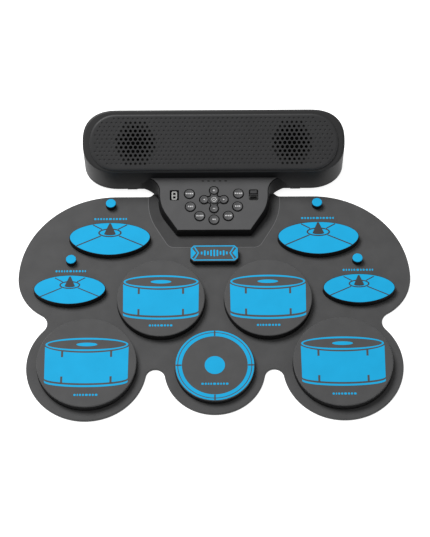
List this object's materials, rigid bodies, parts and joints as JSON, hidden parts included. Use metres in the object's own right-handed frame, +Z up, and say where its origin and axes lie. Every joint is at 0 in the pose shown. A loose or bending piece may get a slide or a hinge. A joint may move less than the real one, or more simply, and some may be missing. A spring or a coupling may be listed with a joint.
{
  "type": "electronic drum pad",
  "caption": "Thin rubber mat with raised round and lens-shaped playing pads, and a speaker and control unit with sprung buttons at its rear.",
  "frame": {"origin": "on the table, below the centre of the whole outline", "axes": "+X to the player's right, +Y away from the player towards the speaker unit, +Z up"},
  "size_m": [0.46, 0.3825, 0.0697],
  "materials": {
    "mat_rubber": "matte, fine leathery grain",
    "backing_rubber": "matte",
    "pad_rubber": "matte, with printed top",
    "stud_rubber": "matte, printed top",
    "case_plastic": "fine spark-eroded texture",
    "grille_plastic": "fine texture, satin",
    "key_rubber": "satin",
    "keypad_silicone": "matte",
    "switch_plastic": "satin",
    "display_window": "polished",
    "display_black": "matte",
    "board": "solder mask",
    "film": "smooth film",
    "steel": "plated",
    "cone": "paper",
    "foot_rubber": "matte",
    "cell_foil": "laminated foil",
    "jack_plastic": "moulded"
  },
  "bodies": {
    "root": {"mat_skin": "mat_rubber", "mat_backing": "backing_rubber", "badge_block": "pad_rubber", "stud_crash_left": "stud_rubber", "stud_crash_right": "stud_rubber", "stud_hi_hat": "stud_rubber", "stud_ride": "stud_rubber", "housing_upper": "case_plastic", "housing_base": "case_plastic", "speaker_grille": "grille_plastic", "keypad_sheet": "keypad_silicone", "display_lens": "display_window", "display_module": "display_black", "main_board": "board", "io_board": "board", "sensor_film": "film", "case_screw_1": "steel", "case_screw_2": "steel", "case_screw_3": "steel", "case_screw_4": "steel", "case_screw_5": "steel", "case_screw_6": "steel", "speaker_frame_left": "steel", "speaker_frame_right": "steel", "switch_body": "steel", "speaker_cone_left": "cone", "speaker_cone_right": "cone", "rubber_foot_1": "foot_rubber", "rubber_foot_2": "foot_rubber", "rubber_foot_3": "foot_rubber", "rubber_foot_4": "foot_rubber", "battery_pack": "cell_foil", "usb_port": "jack_plastic", "headphone_jack": "jack_plastic", "audio_in_jack": "jack_plastic", "kick_pedal_jack": "jack_plastic", "hi_hat_pedal_jack": "jack_plastic"},
    "pad_snare": {"pad_snare": "pad_rubber"},
    "pad_floor_tom": {"pad_floor_tom": "pad_rubber"},
    "pad_high_tom": {"pad_high_tom": "pad_rubber"},
    "pad_low_tom": {"pad_low_tom": "pad_rubber"},
    "pad_bass": {"pad_bass": "pad_rubber"},
    "pad_crash_left": {"pad_crash_left": "pad_rubber"},
    "pad_crash_right": {"pad_crash_right": "pad_rubber"},
    "pad_hi_hat": {"pad_hi_hat": "pad_rubber"},
    "pad_ride": {"pad_ride": "pad_rubber"},
    "function_button_1": {"function_button_1": "key_rubber"},
    "function_button_2": {"function_button_2": "key_rubber"},
    "function_button_3": {"function_button_3": "key_rubber"},
    "function_button_4": {"function_button_4": "key_rubber"},
    "function_button_5": {"function_button_5": "key_rubber"},
    "function_button_6": {"function_button_6": "key_rubber"},
    "function_button_7": {"function_button_7": "key_rubber"},
    "dpad_key_up": {"dpad_key_up": "key_rubber"},
    "dpad_key_down": {"dpad_key_down": "key_rubber"},
    "dpad_key_left": {"dpad_key_left": "key_rubber"},
    "dpad_key_right": {"dpad_key_right": "key_rubber"},
    "power_button": {"power_button": "key_rubber"},
    "power_switch_cap": {"power_switch_cap": "switch_plastic"}
  },
  "joints": [
    {"name": "snare_press", "type": "slide", "parent": "root", "child": "pad_snare", "axis": [0, 0, -1], "range_m": [0, 0.0007], "stiffness_N_per_m": 4000, "springref_m": -0.001},
    {"name": "floor_tom_press", "type": "slide", "parent": "root", "child": "pad_floor_tom", "axis": [0, 0, -1], "range_m": [0, 0.0007], "stiffness_N_per_m": 4000, "springref_m": -0.001},
    {"name": "high_tom_press", "type": "slide", "parent": "root", "child": "pad_high_tom", "axis": [0, 0, -1], "range_m": [0, 0.0007], "stiffness_N_per_m": 4000, "springref_m": -0.001},
    {"name": "low_tom_press", "type": "slide", "parent": "root", "child": "pad_low_tom", "axis": [0, 0, -1], "range_m": [0, 0.0007], "stiffness_N_per_m": 4000, "springref_m": -0.001},
    {"name": "bass_press", "type": "slide", "parent": "root", "child": "pad_bass", "axis": [0, 0, -1], "range_m": [0, 0.0007], "stiffness_N_per_m": 4000, "springref_m": -0.001},
    {"name": "crash_left_press", "type": "slide", "parent": "root", "child": "pad_crash_left", "axis": [0, 0, -1], "range_m": [0, 0.0007], "stiffness_N_per_m": 4000, "springref_m": -0.001},
    {"name": "crash_right_press", "type": "slide", "parent": "root", "child": "pad_crash_right", "axis": [0, 0, -1], "range_m": [0, 0.0007], "stiffness_N_per_m": 4000, "springref_m": -0.001},
    {"name": "hi_hat_press", "type": "slide", "parent": "root", "child": "pad_hi_hat", "axis": [0, 0, -1], "range_m": [0, 0.0007], "stiffness_N_per_m": 4000, "springref_m": -0.001},
    {"name": "ride_press", "type": "slide", "parent": "root", "child": "pad_ride", "axis": [0, 0, -1], "range_m": [0, 0.0007], "stiffness_N_per_m": 4000, "springref_m": -0.001},
    {"name": "function_button_1_press", "type": "slide", "parent": "root", "child": "function_button_1", "axis": [0, 0.1685, -0.9857], "range_m": [0, 0.001], "stiffness_N_per_m": 500, "springref_m": -0.001},
    {"name": "function_button_2_press", "type": "slide", "parent": "root", "child": "function_button_2", "axis": [0, 0.1685, -0.9857], "range_m": [0, 0.001], "stiffness_N_per_m": 500, "springref_m": -0.001},
    {"name": "function_button_3_press", "type": "slide", "parent": "root", "child": "function_button_3", "axis": [0, 0.1685, -0.9857], "range_m": [0, 0.001], "stiffness_N_per_m": 500, "springref_m": -0.001},
    {"name": "function_button_4_press", "type": "slide", "parent": "root", "child": "function_button_4", "axis": [0, 0.1685, -0.9857], "range_m": [0, 0.001], "stiffness_N_per_m": 500, "springref_m": -0.001},
    {"name": "function_button_5_press", "type": "slide", "parent": "root", "child": "function_button_5", "axis": [0, 0.1685, -0.9857], "range_m": [0, 0.001], "stiffness_N_per_m": 500, "springref_m": -0.001},
    {"name": "function_button_6_press", "type": "slide", "parent": "root", "child": "function_button_6", "axis": [0, 0.1685, -0.9857], "range_m": [0, 0.001], "stiffness_N_per_m": 500, "springref_m": -0.001},
    {"name": "function_button_7_press", "type": "slide", "parent": "root", "child": "function_button_7", "axis": [0, 0.1685, -0.9857], "range_m": [0, 0.001], "stiffness_N_per_m": 500, "springref_m": -0.001},
    {"name": "dpad_key_up_press", "type": "slide", "parent": "root", "child": "dpad_key_up", "axis": [0, 0.1685, -0.9857], "range_m": [0, 0.001], "stiffness_N_per_m": 500, "springref_m": -0.001},
    {"name": "dpad_key_down_press", "type": "slide", "parent": "root", "child": "dpad_key_down", "axis": [0, 0.1685, -0.9857], "range_m": [0, 0.001], "stiffness_N_per_m": 500, "springref_m": -0.001},
    {"name": "dpad_key_left_press", "type": "slide", "parent": "root", "child": "dpad_key_left", "axis": [0, 0.1685, -0.9857], "range_m": [0, 0.001], "stiffness_N_per_m": 500, "springref_m": -0.001},
    {"name": "dpad_key_right_press", "type": "slide", "parent": "root", "child": "dpad_key_right", "axis": [0, 0.1685, -0.9857], "range_m": [0, 0.001], "stiffness_N_per_m": 500, "springref_m": -0.001},
    {"name": "power_button_press", "type": "slide", "parent": "root", "child": "power_button", "axis": [0, 0.1685, -0.9857], "range_m": [0, 0.001], "stiffness_N_per_m": 500, "springref_m": -0.001},
    {"name": "power_switch_slide", "type": "slide", "parent": "root", "child": "power_switch_cap", "axis": [0, -0.9857, -0.1685], "range_m": [0, 0.0034]}
  ]
}
